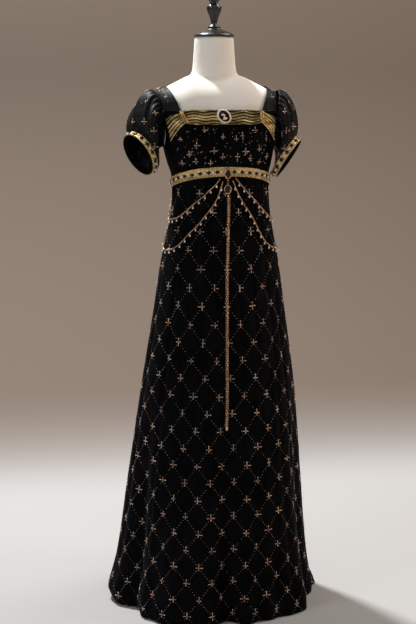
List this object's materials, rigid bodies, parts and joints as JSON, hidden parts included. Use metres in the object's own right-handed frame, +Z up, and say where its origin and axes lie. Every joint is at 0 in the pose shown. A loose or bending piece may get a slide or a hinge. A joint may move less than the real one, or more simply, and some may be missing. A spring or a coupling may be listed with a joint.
{
  "type": "regency gown on a dress form",
  "caption": "Empire-waist velvet gown with puff sleeves, gold sash, jewelled belt and bead chains on a limbless dress form that stands on a round base.",
  "frame": {"origin": "centre of the stand's underside on the floor, on the axis of the form's pole and neck", "axes": "+Z up; the gown's front faces -Y; +X is the wearer's left"},
  "size_m": [0.5946, 0.5767, 1.661],
  "materials": {
    "velvet": "black pile, matt with a cool sheen",
    "lame": "pleated gold lame",
    "jewelled_trim": "gold braid with stones and pearls",
    "gold": "polished gold plate",
    "jet": "polished black",
    "relief": "carved pale pink shell",
    "bead_chain": "copper and gold beads",
    "form_cloth": "off-white jersey",
    "black_lacquer": "black satin",
    "stand_metal": "brushed"
  },
  "bodies": {
    "root": {"skirt_front": "velvet", "skirt_side_front_left": "velvet", "skirt_side_back_left": "velvet", "skirt_back": "velvet", "skirt_side_back_right": "velvet", "skirt_side_front_right": "velvet", "bodice_front": "velvet", "bodice_side_left": "velvet", "bodice_side_right": "velvet", "bodice_back_left": "velvet", "bodice_back_right": "velvet", "strap_left": "velvet", "strap_right": "velvet", "sleeve_left": "velvet", "sleeve_right": "velvet", "sash_front": "lame", "sash_wing_left": "lame", "sash_wing_right": "lame", "belt_front": "jewelled_trim", "belt_back": "jewelled_trim", "cuff_trim_left": "jewelled_trim", "cuff_trim_right": "jewelled_trim", "clasp_left": "gold", "clasp_right": "gold", "cameo_frame": "gold", "brooch_frame": "gold", "drop_link": "gold", "drop_ring": "gold", "cameo_stone": "jet", "brooch_stone": "jet", "drop_stone": "jet", "cameo_relief": "relief", "swag_upper_right": "bead_chain", "swag_lower_right": "bead_chain", "swag_upper_left": "bead_chain", "swag_lower_left": "bead_chain", "chain_tail": "bead_chain", "form_body": "form_cloth", "form_cap": "black_lacquer", "form_finial": "black_lacquer", "form_pole": "stand_metal", "form_base": "stand_metal"}
  },
  "joints": []
}
